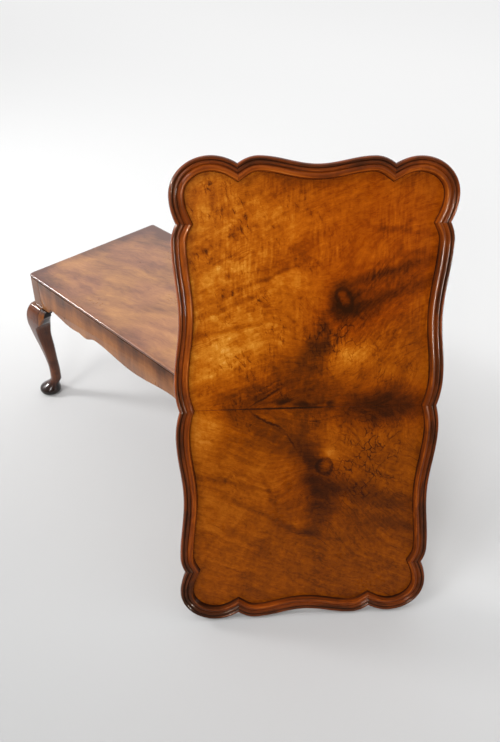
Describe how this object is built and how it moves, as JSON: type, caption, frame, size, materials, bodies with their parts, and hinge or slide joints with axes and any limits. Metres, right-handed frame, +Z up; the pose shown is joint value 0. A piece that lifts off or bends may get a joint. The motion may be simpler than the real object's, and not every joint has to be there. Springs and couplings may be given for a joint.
{
  "type": "butler tray table",
  "caption": "Low wooden table on cabriole legs with pad feet and shaped aprons, and a lift-off scalloped tray with a moulded rim that leans against its corner.",
  "frame": {"origin": "middle of the bounding box of table and leaning tray, on the floor", "axes": "+X along the table's length towards the end where the tray leans, +Y from the table's front apron to its back apron, +Z up"},
  "size_m": [1.2076, 0.6658, 0.9012],
  "materials": {
    "polished_top": "French-polished walnut, glossy",
    "polished_frame": "polished walnut, semi-gloss",
    "polished_leg": "dark polished walnut, glossy",
    "figured_veneer": "burr walnut veneer, French-polished",
    "dark_moulding": "dark polished walnut moulding, glossy",
    "bare_wood": "unpolished, matt",
    "screw_steel": "dull bright"
  },
  "bodies": {
    "table": {"table_top": "polished_top", "apron_front": "polished_frame", "apron_right": "polished_frame", "apron_back": "polished_frame", "apron_left": "polished_frame", "leg_front_left": "polished_leg", "leg_front_right": "polished_leg", "leg_back_right": "polished_leg", "leg_back_left": "polished_leg", "ear_front_left_side": "polished_leg", "ear_front_left_end": "polished_leg", "ear_front_right_side": "polished_leg", "ear_front_right_end": "polished_leg", "ear_back_right_side": "polished_leg", "ear_back_right_end": "polished_leg", "ear_back_left_side": "polished_leg", "ear_back_left_end": "polished_leg", "top_button_1": "bare_wood", "top_button_2": "bare_wood", "top_button_3": "bare_wood", "top_button_4": "bare_wood", "top_button_5": "bare_wood", "top_button_6": "bare_wood", "button_screw_1": "screw_steel", "button_screw_2": "screw_steel", "button_screw_3": "screw_steel", "button_screw_4": "screw_steel", "button_screw_5": "screw_steel", "button_screw_6": "screw_steel"},
    "tray": {"tray_board": "bare_wood", "tray_veneer_upper": "figured_veneer", "tray_veneer_lower": "figured_veneer", "rim_side_upper_right": "dark_moulding", "rim_corner_upper_right": "dark_moulding", "rim_end_upper": "dark_moulding", "rim_corner_upper_left": "dark_moulding", "rim_side_upper_left": "dark_moulding", "rim_side_lower_left": "dark_moulding", "rim_corner_lower_left": "dark_moulding", "rim_end_lower": "dark_moulding", "rim_corner_lower_right": "dark_moulding", "rim_side_lower_right": "dark_moulding", "tray_fillet_right": "bare_wood", "tray_fillet_left": "bare_wood", "tray_fillet_upper": "bare_wood", "tray_fillet_lower": "bare_wood"}
  },
  "joints": [
    {"name": "tray_lift", "type": "slide", "parent": "table", "child": "tray", "axis": [0, 0, 1], "range_m": [0, 0.45]}
  ]
}
